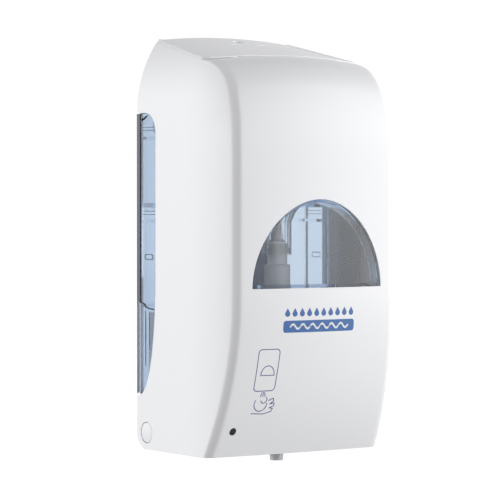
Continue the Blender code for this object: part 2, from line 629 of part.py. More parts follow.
def make_pump_spring():
    wire = 0.6
    line = coil_points(6.3, FLANGE_TOP + 0.4 + wire, BARREL_FOOT - 0.4 - wire, 6)
    tube("pump_spring", [(x, y + PUMP_Y, z) for x, y, z in line], wire, "steel", resolution=1)


# ---- drive ---------------------------------------------------------------------------------------
def involute(angle):
    return math.tan(angle) - angle


def gear_outline(teeth, module, centre, facing, slack=0.3, addendum=0.85):
    """Spur gear outline in (x, z), one tooth pointing at the angle facing; slack thins each tooth in mm."""
    pitch = teeth * module / 2
    base = pitch * math.cos(PRESSURE)
    tip, root = pitch + addendum * module, pitch - 1.2 * module
    half_tooth = math.pi / (2 * teeth) - slack / (2 * pitch)

    def half_angle(radius):
        roll = math.acos(min(base / radius, 1.0))
        return half_tooth + involute(PRESSURE) - involute(roll)

    radii = (root, max(base, root + 0.05), pitch, tip)
    flank = [(radius, half_angle(max(radius, base))) for radius in radii]
    points = []
    for tooth in range(teeth):
        middle = facing + 2 * math.pi * tooth / teeth
        for radius, half in flank:
            points.append((radius, middle - half))
        for radius, half in flank[::-1]:
            points.append((radius, middle + half))
    return [(centre[0] + r * math.cos(a), centre[1] + r * math.sin(a)) for r, a in points]


def step_from(start, distance, angle):
    return start[0] + distance * math.cos(angle), start[1] + distance * math.sin(angle)


OUTPUT = (OUTPUT_X, OUTPUT_Z)
COMPOUND = step_from(OUTPUT, (OUTPUT_TEETH + COMPOUND_SMALL) * TRAIN_MODULE / 2, COMPOUND_ANGLE)
MOTOR = step_from(COMPOUND, (COMPOUND_BIG + MOTOR_TEETH) * TRAIN_MODULE / 2, MOTOR_ANGLE)
OUTPUT_PLANE = (-71.5, -67.5)
FAST_PLANE = (-78.0, -73.5)


def make_yoke():
    """Fork that lifts the piston's flange, with the rack that the output pinion drives."""
    yoke = place("pump_yoke", box((-12, -63.2, 24), (17, -47.5, 32)), "acetal", (0, PUMP_Y, 0))
    join(yoke, box((12.6, -62, 25), (RACK_PITCH_X - 1.25, -54, 60)))
    pitch = math.pi * RACK_MODULE
    lean = math.tan(PRESSURE)
    width = pitch / 2 - 0.3
    dedendum, addendum = 1.25, 0.85
    foot, tip = width / 2 + dedendum * lean, width / 2 - addendum * lean
    profile = [(-2.2, -foot), (-dedendum, -foot), (addendum, -tip)]
    profile += [(across, -along) for across, along in profile[::-1]]
    for index in range(-5, 2):
        middle = OUTPUT_Z + (index + 0.5) * pitch
        tooth = [(RACK_PITCH_X + across, middle + along) for across, along in profile]
        join(yoke, prism(tooth, Y_AXIS, -62, -54))
    pocket = rod(FLANGE_FOOT - GAP, FLANGE_TOP + 0.2, FLANGE_RADIUS + GAP, Z_AXIS, (0, PUMP_Y), 28)
    cut(yoke, pocket, box((-10.4, -70, FLANGE_FOOT - GAP), (10.4, PUMP_Y, FLANGE_TOP + 0.2)))
    cut(yoke, rod(20, 28, 4.5, Z_AXIS, (0, PUMP_Y)), box((-4.5, -70, 20), (4.5, PUMP_Y, 28)))
    cut(yoke, rod(28, 35, 8.2, Z_AXIS, (0, PUMP_Y), 28), box((-8.2, -70, 28), (8.2, PUMP_Y, 35)))


def make_output_gear():
    axis = (OUTPUT_X, PUMP_Y, OUTPUT_Z)
    wheel = prism(gear_outline(OUTPUT_TEETH, TRAIN_MODULE, OUTPUT, COMPOUND_ANGLE), Y_AXIS, *OUTPUT_PLANE)
    gear = place("output_gear", wheel, "acetal", axis)
    pinion = gear_outline(PINION_TEETH, RACK_MODULE, OUTPUT, math.pi, 0.3)
    join(gear, prism(pinion, Y_AXIS, -62.5, -53.5), rod(-69, -60, 3.6, Y_AXIS, OUTPUT))
    cut(gear, rod(-90, -40, 1.9, Y_AXIS, OUTPUT))


def make_compound_gear():
    back_to_output = COMPOUND_ANGLE + math.pi + math.pi / COMPOUND_SMALL
    wheel = prism(gear_outline(COMPOUND_BIG, TRAIN_MODULE, COMPOUND, MOTOR_ANGLE), Y_AXIS, *FAST_PLANE)
    gear = place("compound_gear", wheel, "acetal", (COMPOUND[0], -73, COMPOUND[1]))
    small = gear_outline(COMPOUND_SMALL, TRAIN_MODULE, COMPOUND, back_to_output)
    join(gear, prism(small, Y_AXIS, -74, -66.8))
    cut(gear, rod(-90, -60, 1.4, Y_AXIS, COMPOUND, 14))


def make_motor():
    facing = MOTOR_ANGLE + math.pi + math.pi / MOTOR_TEETH
    outline = gear_outline(MOTOR_TEETH, TRAIN_MODULE, MOTOR, facing)
    pinion = place("motor_pinion", prism(outline, Y_AXIS, -78, -73.2), "acetal", (MOTOR[0], -75, MOTOR[1]))
    cut(pinion, rod(-90, -70, 1.25, Y_AXIS, MOTOR, 12))
    shaft, nose, can = 0.95, 3.0, 10.0
    profile = [(0, -77.6), (shaft, -77.6), (shaft, -62.6), (nose, -62.6), (nose, -61), (can - 0.6, -61),
               (can, -60.4), (can, -37), (can - 0.6, -36.4), (0, -36.4)]
    motor = place("motor", turned(profile, lay([MOTOR], Y_AXIS, 0)[0], Y_AXIS, 28), "steel")
    flats = [box((MOTOR[0] - 12, -61.4, MOTOR[1] + 7.6), (MOTOR[0] + 12, -36, MOTOR[1] + 14)),
             box((MOTOR[0] - 12, -61.4, MOTOR[1] - 14), (MOTOR[0] + 12, -36, MOTOR[1] - 7.6))]
    cut(motor, *flats)


CASE_LOW, CASE_HIGH = (7.4, 26.5), (56.4, 72.0)
CASE_SCREWS = [(11.0, 68.4), (52.8, 68.4), (52.8, 30.1)]


def make_gearbox():
    case = place("gearbox_case", prism(rounded(CASE_LOW, CASE_HIGH, 5), Y_AXIS, -81, -63.6), "grey_abs")
    hollow_low, hollow_high = [v + 1.8 for v in CASE_LOW], [v - 1.8 for v in CASE_HIGH]
    cut(case, prism(rounded(hollow_low, hollow_high, 3.4), Y_AXIS, -85, -65.6))
    posts = [rod(-80.9, -64.5, 3.0, Y_AXIS, place_at, 14) for place_at in CASE_SCREWS]
    join(case, *posts, rod(-66.4, -64.5, 2.6, Y_AXIS, COMPOUND, 14))
    cut(case, rod(-75, -55, 5.0, Y_AXIS, OUTPUT), rod(-75, -55, 3.4, Y_AXIS, MOTOR))
    cut(case, rod(-75, -55, 1.35, Y_AXIS, COMPOUND, 14))
    cut(case, *[rod(-85, -71, 1.8, Y_AXIS, place_at, 12) for place_at in CASE_SCREWS])
    lid = place("gearbox_cover", prism(rounded(CASE_LOW, CASE_HIGH, 5), Y_AXIS, -83, -81.3), "grey_abs")
    cut(lid, *[rod(-87, -75, 1.8, Y_AXIS, place_at, 12) for place_at in CASE_SCREWS])
    for index, (x, z) in enumerate(CASE_SCREWS):
        screw(f"gearbox_screw_{index + 1}", (x, -73.5, z), 9.8, Y_AXIS, -1)
    place("compound_axle", rod(-80.9, -63.9, 1.05, Y_AXIS, COMPOUND, 14), "steel")
    place("output_axle", rod(-80.9, -50.5, 1.5, Y_AXIS, OUTPUT, 16), "steel")


# ---- batteries -----------------------------------------------------------------------------------
def make_batteries():
    """Open-fronted case with a sliding door, four AA cells set alternately up and down, and their contacts."""
    low, high = (-34, -28, 22.5), (34, -7.5, 83.5)
    case = place("battery_case", box(low, high), "grey_abs")
    cut(case, box((-32.4, -40, 24.2), (32.4, -9.2, 81.8)))
    door = place("battery_door", box((-34, -30.2, 22.5), (34, -28.4, 83.5)), "grey_abs")
    join(door, box((-9, -32, 76), (9, -30, 79)))
    top = CELL_FOOT + CELL_LENGTH
    for index in range(4):
        x = (index - 1.5) * CELL_PITCH
        up = index % 2 == 0
        profile = [(0, CELL_FOOT), (CELL_RADIUS - 0.5, CELL_FOOT), (CELL_RADIUS, CELL_FOOT + 0.5),
                   (CELL_RADIUS, top - 0.5), (CELL_RADIUS - 0.5, top), (2.6, top), (2.6, top + 1.0)]
        profile.append((0, top + 1.0))
        if not up:
            profile = [(radius, CELL_FOOT + top - along) for radius, along in profile]
        place(f"battery_{index + 1}", turned(profile, (x, CELL_Y, 0), count=20), "cell_sleeve")
    above, below = 79.0, 25.0
    for name, first, last, height in (
        ("contact_top_left", 0, 1, above),
        ("contact_top_right", 2, 3, above),
        ("contact_foot_left", 0, 0, below),
        ("contact_foot_middle", 1, 2, below),
        ("contact_foot_right", 3, 3, below),
    ):
        left, right = (first - 1.5) * CELL_PITCH - 5, (last - 1.5) * CELL_PITCH + 5
        place(name, box((left, -23, height), (right, -12, height + 0.5)), "steel")


# ---- electronics ---------------------------------------------------------------------------------
BOARD_Y = -64.0


def make_boards():
    """Control board with a chip, a plug socket, a capacitor and a slide switch; and the sensor's board."""
    board = place("control_board", box((-50, BOARD_Y - 1.6, 8.6), (-15, BOARD_Y, 60)), "board_green")
    chip = box((-44, BOARD_Y - 3.4, 34), (-34, BOARD_Y - 1, 44))
    socket = box((-24, BOARD_Y - 6, 12), (-17, BOARD_Y - 1, 20))
    capacitor = rod(BOARD_Y - 9, BOARD_Y - 1, 3.2, Y_AXIS, (-24, 32), 16)
    switch = box((-46, BOARD_Y - 5, 49), (-33, BOARD_Y - 1, 54.5))
    join(board, chip, socket, capacitor, switch)
    cut(board, box((-44.4, BOARD_Y - 6, 50.6), (-34.6, BOARD_Y - 2.6, 52.9)))
    blank = box((-43.9, BOARD_Y - 7.2, 50.9), (-40.7, BOARD_Y - 3.0, 52.6))
    knob = place("power_switch", blank, "white_pp")
    bevel = knob.modifiers.new("edge", "BEVEL")
    bevel.width = 0.25 * MM
    bevel.segments = 1
    dome = [(0, 9.5), (1.4, 9.0), (1.9, 7.6), (1.9, 2.0), (0, 2.0)]
    led = [(radius, BOARD_Y - ahead) for radius, ahead in dome]
    place("status_led", turned(led, (-46.5, 0, 16), Y_AXIS, 16), "frosted_silicone")
    place("sensor_board", box((-19, -77.5, 8.6), (19, -66.4, 10.0)), "board_green")
    for side, name, finish in ((-1, "ir_emitter", "smoke_blue"), (1, "ir_receiver", "black_lens")):
        dome = [(0, 3.0), (1.2, 3.2), (1.9, 4.2), (1.9, 8.2), (0, 8.2)]
        place(name, turned(dome, (side * 9, -69.7, 0), count=16), finish)


def make_sensor_tray():
    """Plate that closes the casing round the nozzle, with a dark lens over the infrared parts."""
    outline = rounded((-26.2, -73.2), (26.2, -38.8), 3)
    tray = place("sensor_tray", prism(outline, Z_AXIS, 0.3, 4.6), "grey_abs")
    cut(tray, rod(-2, 8, 7.0, Z_AXIS, (0, PUMP_Y)), box((-15.5, -72.6, -1), (15.5, -66.6, 2.6)))
    cut(tray, box((-13.5, -72.0, -1), (13.5, -67.4, 8)))
    place("sensor_lens", box((-15.1, -72.2, 0.5), (15.1, -67.0, 2.2)), "black_lens")


def make_leads():
    """Battery leads, clipped from the contacts round the case's side and forward to the control board."""
    leads = (("battery_lead_red", "red_wire", -37.2, 0.0), ("battery_lead_black", "black_wire", -39.6, 2.4))
    for name, finish, x, shift in leads:
        route = [(-35.2, -20, 40), (x, -20, 40), (x, -26, 40.3), (x, -36, 39), (x, -46, 37), (x, -56, 35.5),
                 (x, BOARD_Y + 0.6, 35)]
        route = [(across, along, height + shift) for across, along, height in route]
        tube(name, route, 0.7, finish, resolution=1)


make_cover()
make_window()
make_status_lens()
make_pivot_pins()
make_lock()
make_back_body()
make_keeper()
make_chassis()
make_chassis_screws()
make_tank()
make_tank_cap()
make_neck_seal()
make_pump()
make_piston()
make_pump_spring()
make_yoke()
make_output_gear()
make_compound_gear()
make_motor()
make_gearbox()
make_batteries()
make_boards()
make_sensor_tray()
make_leads()
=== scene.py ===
"""Finished look of a wall-mounted sensor soap dispenser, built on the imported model."""

import math

import bmesh
import bpy
from mathutils import Matrix, Vector


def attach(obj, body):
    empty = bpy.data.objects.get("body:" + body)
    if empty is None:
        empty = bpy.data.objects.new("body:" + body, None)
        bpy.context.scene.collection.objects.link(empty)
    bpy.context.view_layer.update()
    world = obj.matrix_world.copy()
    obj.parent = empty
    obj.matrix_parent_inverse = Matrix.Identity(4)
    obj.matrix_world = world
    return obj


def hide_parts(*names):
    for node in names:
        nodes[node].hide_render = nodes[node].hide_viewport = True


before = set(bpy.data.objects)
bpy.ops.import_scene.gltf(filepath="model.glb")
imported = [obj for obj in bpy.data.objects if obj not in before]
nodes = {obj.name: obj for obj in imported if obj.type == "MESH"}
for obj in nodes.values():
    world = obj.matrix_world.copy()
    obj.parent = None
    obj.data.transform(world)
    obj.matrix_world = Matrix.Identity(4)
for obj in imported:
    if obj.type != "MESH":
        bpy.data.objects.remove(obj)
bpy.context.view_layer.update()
MM = 0.001

# ---- camera, floor and light -------------------------------------------------------------------------------
# A long lens to the left of the object, just above its middle. The studio is a white room: a soft dome of
# light that is weaker behind the camera and overhead, and a pale floor well below the hanging object.
camera = bpy.data.objects.new("camera", bpy.data.cameras.new("camera"))
bpy.context.scene.collection.objects.link(camera)
bpy.context.scene.camera = camera
camera.location = (-0.8828, -1.3178, 0.0267)
aim = Vector((-0.0107, -0.0448, -0.0054))
camera.rotation_euler = (aim - camera.location).to_track_quat("-Z", "Y").to_euler()
camera.data.lens = 180.6
camera.data.sensor_width = 36.0
bpy.context.scene.view_settings.view_transform = "Standard"

world = bpy.data.worlds.new("studio")
bpy.context.scene.world = world
world.use_nodes = True
sky = world.node_tree
sky.nodes.clear()


def sky_node(kind, **settings):
    made = sky.nodes.new(kind)
    for key, value in settings.items():
        setattr(made, key, value)
    return made


def soft_patch(direction, inner, outer, low, high):
    """A factor over the dome: low within inner degrees of a direction, rising to high at outer degrees."""
    dot = sky_node("ShaderNodeVectorMath", operation="DOT_PRODUCT")
    sky.links.new(heading.outputs["Generated"], dot.inputs[0])
    dot.inputs[1].default_value = Vector(direction).normalized()
    ramp = sky_node("ShaderNodeMapRange", interpolation_type="SMOOTHSTEP")
    sky.links.new(dot.outputs["Value"], ramp.inputs["Value"])
    ramp.inputs["From Min"].default_value = math.cos(math.radians(outer))
    ramp.inputs["From Max"].default_value = math.cos(math.radians(inner))
    ramp.inputs["To Min"].default_value = high
    ramp.inputs["To Max"].default_value = low
    return ramp.outputs["Result"]


def product(first, second):
    times = sky_node("ShaderNodeMath", operation="MULTIPLY")
    sky.links.new(first, times.inputs[0])
    sky.links.new(second, times.inputs[1])
    return times.outputs["Value"]


heading = sky_node("ShaderNodeTexCoord")
behind_camera = soft_patch((-0.66, -0.75, 0.0), 40, 84, 0.36, 1.32)
overhead = soft_patch((0, 0, 1), 25, 80, 0.14, 1.0)
left_box = soft_patch((-0.95, 0.3, 0.0), 20, 60, 3.45, 1.0)
right_box = soft_patch((0.55, -0.82, 0.1), 15, 55, 3.4, 1.0)
wall_side = soft_patch((0, 1, 0), 25, 75, 0.7, 1.0)
below = soft_patch((0, 0, -1), 80, 92, 0.45, 1.0)
sides = product(left_box, right_box)
strength = product(product(product(behind_camera, overhead), sides), product(below, wall_side))
dome = sky_node("ShaderNodeBackground")
dome.inputs["Color"].default_value = (0.985, 0.99, 1.0, 1)
sky.links.new(strength, dome.inputs["Strength"])
backdrop = sky_node("ShaderNodeBackground")
backdrop.inputs["Color"].default_value = (1, 1, 1, 1)
backdrop.inputs["Strength"].default_value = 1.05
seen = sky_node("ShaderNodeLightPath")
choose = sky_node("ShaderNodeMixShader")
straight = sky_node("ShaderNodeMath", operation="MAXIMUM")
sky.links.new(seen.outputs["Is Camera Ray"], straight.inputs[0])
sky.links.new(seen.outputs["Is Transmission Ray"], straight.inputs[1])
sky.links.new(straight.outputs["Value"], choose.inputs["Fac"])
sky.links.new(dome.outputs[0], choose.inputs[1])
sky.links.new(backdrop.outputs[0], choose.inputs[2])
sky_out = sky_node("ShaderNodeOutputWorld")
sky.links.new(choose.outputs[0], sky_out.inputs["Surface"])

bpy.ops.object.select_all(action="DESELECT")
bpy.ops.mesh.primitive_plane_add(size=16, location=(0, 0, -0.6))
floor = bpy.context.object
floor.name = "floor"
pale = bpy.data.materials.new("pale_floor")
pale.use_nodes = True
pale_shader = pale.node_tree.nodes["Principled BSDF"]
pale_shader.inputs["Base Color"].default_value = (0.9, 0.9, 0.9, 1)
pale_shader.inputs["Roughness"].default_value = 0.9
pale_shader.inputs["Emission Color"].default_value = (1, 1, 1, 1)
pale_shader.inputs["Emission Strength"].default_value = 0.45
floor.data.materials.append(pale)
floor.visible_diffuse = False
floor.visible_glossy = False

# ---- cover -------------------------------------------------------------------------------------------------
# Glossy white ABS, injection moulded in one piece: flanks, a bowed front, a sloping roof panel set a little
# below its rim, and openings for the window, the back body's sides, the hinge pins, the lamp and the nozzle.
UNDERSIDE = -0.1281  # metres; the other sizes are in millimetres
HALF_WIDTH = 65.0
FLANK_DEPTH = 96.8
HEIGHT = 256.2
SKIN = 2.5
BAND = 3.0  # width of the flat that joins a flank to the front, each way
CROWN = 4.2  # how far the front bows out at its middle
SHOULDER, SHOULDER_RADIUS = 207.0, 75.0  # the flanks draw in above this height
BELLY, BELLY_RADIUS = 94.5, 204.0  # the front falls back below this height
BROW, BROW_RADIUS = 181.5, 112.0  # and leans back above this one
EDGE, EDGE_RADIUS = 216.5, 30.0  # then rolls over to the roof
BEND, BEND_RATE = 55.0, 270.0  # past this depth a flank turns in, by the depth squared over the rate
TIGHTEN, TIGHTEN_START, TIGHTEN_RUN = 0.9, 190.0, 50.0  # and turns in more near the roof
ROOF_SLOPE, ROOF_DOME = 0.21, 3.0 / 50.0**2
DOME_AT_FLANK = ROOF_DOME * 57.0**2
LIP, SUNK = 1.0, 0.55  # rim round the roof panel, and how far the panel sits below it
PIVOT_Y, PIVOT_Z = -11.5, 10.5


def arc_fall(radius, run):
    return radius - math.sqrt(max(radius * radius - run * run, 0.0))


def half_width(height):
    return HALF_WIDTH - arc_fall(SHOULDER_RADIUS, max(height - SHOULDER, 0.0))


def flank_depth(height):
    """How far forward a flank reaches: least at the foot and the roof."""
    if height < BELLY:
        return FLANK_DEPTH - arc_fall(BELLY_RADIUS, BELLY - height)
    brow = arc_fall(BROW_RADIUS, min(max(height - BROW, 0.0), EDGE - BROW))
    if height <= EDGE:
        return FLANK_DEPTH - brow
    lean = math.asin((EDGE - BROW) / BROW_RADIUS)
    roll = min(math.sin(lean) + (height - EDGE) / EDGE_RADIUS, 1.0)
    return FLANK_DEPTH - brow - EDGE_RADIUS * (math.cos(lean) - math.sqrt(1 - roll * roll))


def flank_bend(depth, height):
    """How far a flank has turned in at a depth."""
    tighter = 1 + TIGHTEN * min(max((height - TIGHTEN_START) / TIGHTEN_RUN, 0.0), 1.0)
    return tighter * max(depth - BEND, 0.0) ** 2 / BEND_RATE


def roof(x, y):
    return HEIGHT + ROOF_SLOPE * y - ROOF_DOME * x * x


def plan_point(station, height, inset, rear):
    """(x, y) on the left half. Stations: 0 to 1 the flank, 1 to 2 the band, 2 to 3 the front."""
    corner = flank_depth(height) - inset
    if station <= 1:
        depth = corner * station if station else -rear
        return -(half_width(height) - flank_bend(depth, height) - inset), -depth
    flank_x = -(half_width(height) - flank_bend(corner, height) - inset)
    if station <= 2:
        share = station - 1
        return flank_x + BAND * share, -(corner + BAND * share)
    share = 3 - station
    x = (flank_x + BAND) * share
    depth = flank_depth(height - DOME_AT_FLANK + ROOF_DOME * x * x) - inset + BAND
    return x, -(depth + CROWN * (1 - share * share))


REAR_CORNER, FRONT_CORNER = (0.985, 1.42), (1.58, 2.03)  # stations between which a corner is rounded


def softened(station, height, inset, rear):
    """The same outline with its two corners at the band rounded off."""
    for corner, (before, after) in ((1, REAR_CORNER), (2, FRONT_CORNER)):
        if before < station < after:
            share = (station - before) / (after - before)
            a = Vector(plan_point(before, height, inset, rear))
            b = Vector(plan_point(corner, height, inset, rear))
            c = Vector(plan_point(after, height, inset, rear))
            return tuple(a * (1 - share) ** 2 + b * 2 * share * (1 - share) + c * share * share)
    return plan_point(station, height, inset, rear)


def crease_height(station, inset, rear):
    """The height at which the walls meet the roof, found by halving."""
    low, high = 190.0, HEIGHT + 2
    for _ in range(36):
        middle = (low + high) / 2
        x, y = softened(station, middle, inset, rear)
        if middle < roof(x, y) - inset:
            low = middle
        else:
            high = middle
    return low


def spread(start, end, count):
    """Evenly spaced values from start, stopping short of end."""
    return [start + (end - start) * i / count for i in range(count)]


HIGH = 216.0  # above this height the points crowd towards the roof
GROOVE_DEPTH = 0.7  # of the fine line just under the roof's edge


def casing(name, inset, rear, foot, fine):
    """The casing's form as a closed solid, walls moved in by inset. fine adds its rim and more points."""
    n = 2 if fine else 1
    stations = spread(0, 0.55, 4 * n) + spread(0.55, REAR_CORNER[0], 8 * n) + spread(*REAR_CORNER, 3 * n)
    stations += spread(REAR_CORNER[1], FRONT_CORNER[0], 1) + spread(*FRONT_CORNER, 3 * n)
    stations += spread(FRONT_CORNER[1], 3, 14 * n) + [3]
    shape = bmesh.new()
    columns = []
    for station in stations:
        top = crease_height(station, inset, rear)
        heights = spread(foot, BELLY, 16 * n) + spread(BELLY, BROW, 6 * n) + spread(BROW, HIGH, 8 * n)
        heights += [HIGH + (top - HIGH) * (1 - (1 - i / (9 * n)) ** 1.4) for i in range(9 * n)]
        wall = [(h, 0.0) for h in heights]
        if fine:
            wall = [(h, 0.0) for h in heights if h < top - 1.75]
            wall += [(top - 1.7, 0.0), (top - 1.6, GROOVE_DEPTH)]
            wall += [(top - 1.0, GROOVE_DEPTH), (top - 0.9, 0.0)]
        column = [Vector((*softened(station, h, inset + cut, rear), h)) for h, cut in wall]
        edge = Vector((*softened(station, top, inset, rear), top))
        if fine:
            centre = Vector((0, min(edge.y + 10, -20), 0))
            inward = Vector((centre.x - edge.x, (centre.y - edge.y) if station > 1.2 else 0, 0))
            if station <= FRONT_CORNER[1]:
                inward = Vector((1, 0.62 * min(max(station - 0.9, 0), 1), 0))
            inward.normalize()
            for out, down in ((0.0, 0.55), (0.16, 0.16), (0.55, 0.0)):
                place = edge + inward * out
                column.append(Vector((place.x, place.y, roof(place.x, place.y) - down - inset)))
            for out, down in ((LIP, 0.0), (LIP + 0.12, SUNK * 0.35), (LIP + 0.2, SUNK)):
                place = edge + inward * out
                column.append(Vector((place.x, place.y, roof(place.x, place.y) - down)))
        else:
            column.append(edge)
        columns.append(column)
    columns += [[Vector((-p.x, p.y, p.z)) for p in column] for column in columns[-2::-1]]
    middle = len(columns) // 2
    for point in columns[middle]:
        point.x = 0
    grid = [[shape.verts.new(p) for p in column] for column in columns]
    for left, right in zip(grid, grid[1:]):
        for low in range(len(left) - 1):
            shape.faces.new([left[low], right[low], right[low + 1], left[low + 1]])
    sunk = SUNK if fine else 0.0
    steps = 24 * n
    strips = []
    for index in range(middle):
        left, right = grid[index][-1], grid[-1 - index][-1]
        across = [left]
        for step in range(1, steps):
            x = left.co.x + (right.co.x - left.co.x) * step / steps
            across.append(shape.verts.new((x, left.co.y, roof(x, left.co.y) - inset - sunk)))
        strips.append(across + [right])
    for near, far in zip(strips, strips[1:]):
        for step in range(steps):
            shape.faces.new([near[step], near[step + 1], far[step + 1], far[step]])
    tip = grid[middle][-1]
    for step in range(steps):
        shape.faces.new([strips[-1][step], strips[-1][step + 1], tip])
    shape.faces.new([column[0] for column in grid])
    shape.faces.new(grid[0] + strips[0][1:-1] + grid[-1][::-1])
    bmesh.ops.remove_doubles(shape, verts=shape.verts, dist=1e-4)
    return as_object(name, shape)


def as_object(name, shape):
    """An object of a shape drawn in millimetres above the casing's underside."""
    bmesh.ops.recalc_face_normals(shape, faces=shape.faces)
    bmesh.ops.scale(shape, vec=Vector((MM, MM, MM)), verts=shape.verts)
    bmesh.ops.translate(shape, vec=(0, 0, UNDERSIDE), verts=shape.verts)
    mesh = bpy.data.meshes.new(name)
    shape.to_mesh(mesh)
    shape.free()
    made = bpy.data.objects.new(name, mesh)
    bpy.context.scene.collection.objects.link(made)
    return made


def pick(piece):
    bpy.ops.object.select_all(action="DESELECT")
    piece.select_set(True)
    bpy.context.view_layer.objects.active = piece


def applied(piece, kind, **settings):
    """Adds a modifier with those settings and applies it."""
    pick(piece)
    modifier = piece.modifiers.new("shape", kind)
    for key, value in settings.items():
        setattr(modifier, key, value)
    bpy.ops.object.modifier_apply(modifier=modifier.name)


def carve(piece, *cutters, operation="DIFFERENCE"):
    for cutter in cutters:
        applied(piece, "BOOLEAN", operation=operation, object=cutter)
        bpy.data.objects.remove(cutter)


def prism(name, outline, axis, start, end):
    """An outline extruded along an axis: X takes (y, z), Y takes (x, z) and Z takes (x, y)."""
    shape = bmesh.new()
    orders = {"X": lambda a, b, c: (c, a, b), "Y": lambda a, b, c: (a, c, b), "Z": lambda a, b, c: (a, b, c)}
    order = orders[axis]
    face = shape.faces.new([shape.verts.new(order(a, b, start)) for a, b in outline])
    grown = bmesh.ops.extrude_face_region(shape, geom=[face])["geom"]
    step = Vector(order(0, 0, end - start))
    bmesh.ops.translate(shape, vec=step, verts=[v for v in grown if isinstance(v, bmesh.types.BMVert)])
    return as_object(name, shape)


def ring(centre, radius, count, start=0.0, turn=2 * math.pi):
    steps = count if abs(turn) > 6.28 else count - 1
    angles = [start + turn * i / steps for i in range(count)]
    return [(centre[0] + radius * math.cos(a), centre[1] + radius * math.sin(a)) for a in angles]


def window_outline(inset, count=97):
    """The D on its back, as (x, z) points: a blunt arch that stands on a straight foot."""
    half, rise, power = 47.4 - inset, 53.0 - 2 * inset, 2 / 1.9
    arch = []
    for index in range(count):
        angle = math.pi * index / (count - 1)
        x, z = math.cos(angle), math.sin(angle)
        arch.append((half * math.copysign(abs(x) ** power, x), 101.0 + inset + rise * max(z, 0) ** power))
    return arch


OPENING_TOP = 207.0


def side_opening(inset):
    """The cut-out's outline, as (y, z) points from its foot up: a long sweep, then a round upper corner."""
    front, top, foot = -22.0 + inset, OPENING_TOP - inset, 32.5 + inset
    sweep = [(front * math.sin(a) ** 0.8, foot + (108.0 - foot) * (1 - math.cos(a)))
             for a in (math.pi / 2 * i / 40 for i in range(41))]
    corner = ring((front + 12.0, top - 12.0), 12.0, 20, math.pi, -math.pi / 2)
    return sweep + corner + [(0.0, top)]


def rounded(low, high, radius, corner=9):
    """An upright oblong between two corners, with round ones."""
    points = []
    corners = (high[0], high[1]), (low[0], high[1]), (low[0], low[1]), (high[0], low[1])
    for index, (x, y) in enumerate(corners):
        centre = (x - math.copysign(radius, x - (low[0] + high[0]) / 2),
                  y - math.copysign(radius, y - (low[1] + high[1]) / 2))
        points += ring(centre, radius, corner, index * math.pi / 2, math.pi / 2)
    return points


def plastic(name, colour, roughness, speck=0.015, grain=900.0, bump=0.02):
    """Moulded plastic: a faint drift in shade and gloss, and a fine bump left by the mould."""
    made = bpy.data.materials.new(name)
    made.use_nodes = True
    tree = made.node_tree
    shader = tree.nodes["Principled BSDF"]
    shader.inputs["IOR"].default_value = 1.5
    where = tree.nodes.new("ShaderNodeTexCoord")
    drift = tree.nodes.new("ShaderNodeTexNoise")
    drift.inputs["Scale"].default_value = 14.0
    drift.inputs["Detail"].default_value = 3.0
    tree.links.new(where.outputs["Object"], drift.inputs["Vector"])
    tone = tree.nodes.new("ShaderNodeMapRange")
    tone.inputs["To Min"].default_value = 1 - speck
    tone.inputs["To Max"].default_value = 1 + speck
    tree.links.new(drift.outputs["Fac"], tone.inputs["Value"])
    shade = tree.nodes.new("ShaderNodeVectorMath")
    shade.operation = "SCALE"
    shade.inputs[0].default_value = colour
    tree.links.new(tone.outputs["Result"], shade.inputs["Scale"])
    tree.links.new(shade.outputs["Vector"], shader.inputs["Base Color"])
    gloss = tree.nodes.new("ShaderNodeMapRange")
    gloss.inputs["To Min"].default_value = roughness * 0.85
    gloss.inputs["To Max"].default_value = roughness * 1.15
    tree.links.new(drift.outputs["Fac"], gloss.inputs["Value"])
    tree.links.new(gloss.outputs["Result"], shader.inputs["Roughness"])
    fine = tree.nodes.new("ShaderNodeTexNoise")
    fine.inputs["Scale"].default_value = grain
    fine.inputs["Detail"].default_value = 2.0
    tree.links.new(where.outputs["Object"], fine.inputs["Vector"])
    relief = tree.nodes.new("ShaderNodeBump")
    relief.inputs["Strength"].default_value = bump
    relief.inputs["Distance"].default_value = 0.0002
    tree.links.new(fine.outputs["Fac"], relief.inputs["Height"])
    tree.links.new(relief.outputs["Normal"], shader.inputs["Normal"])
    return made


LOCK_Y = -17.0
HEEL_RADIUS = 10.9
LAMP_X, LAMP_Z = -50.5, 15.8
shell_white = plastic("shell_white", (0.86, 0.86, 0.875), 0.3)
cover = casing("cover_shell", 0, -0.6, 0, True)
carve(cover, casing("cover_hollow", SKIN, 8, SKIN, False))
boss_outline = [(-13, LOCK_Y - 10), (13, LOCK_Y - 10), (13, LOCK_Y + 10), (-13, LOCK_Y + 10)]
boss = prism("lock_boss", boss_outline, "Z", 243.4, 250)
carve(cover, boss, operation="UNION")
heel = [(PIVOT_Y, -5), (20, -5), (20, PIVOT_Z), (PIVOT_Y + HEEL_RADIUS, PIVOT_Z)]
heel += ring((PIVOT_Y, PIVOT_Z), HEEL_RADIUS, 25, 0, -math.pi / 2)[1:]
carve(
    cover,
    prism("lock_hole", ring((0, LOCK_Y), 4.1, 48), "Z", 240, 260),
    prism("heel", heel, "X", -80, 80),
    prism("side_cut", [(20, 32.49)] + side_opening(0) + [(20, OPENING_TOP)], "X", -80, 80),
    prism("window_cut", window_outline(0), "Y", -130, -80),
    prism("pin_holes", ring((PIVOT_Y, PIVOT_Z), 6.6, 56), "X", -80, 80),
    prism("lamp_hole", ring((LAMP_X, LAMP_Z), 2.3, 40), "Y", -100, -70),
    prism("nozzle_opening", rounded((-27, -74), (27, -38), 3), "Z", -5, 8),
)
pick(cover)
bpy.ops.object.shade_smooth_by_angle(angle=math.radians(30))
cover.data.materials.append(shell_white)
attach(cover, "cover")
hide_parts("cover")


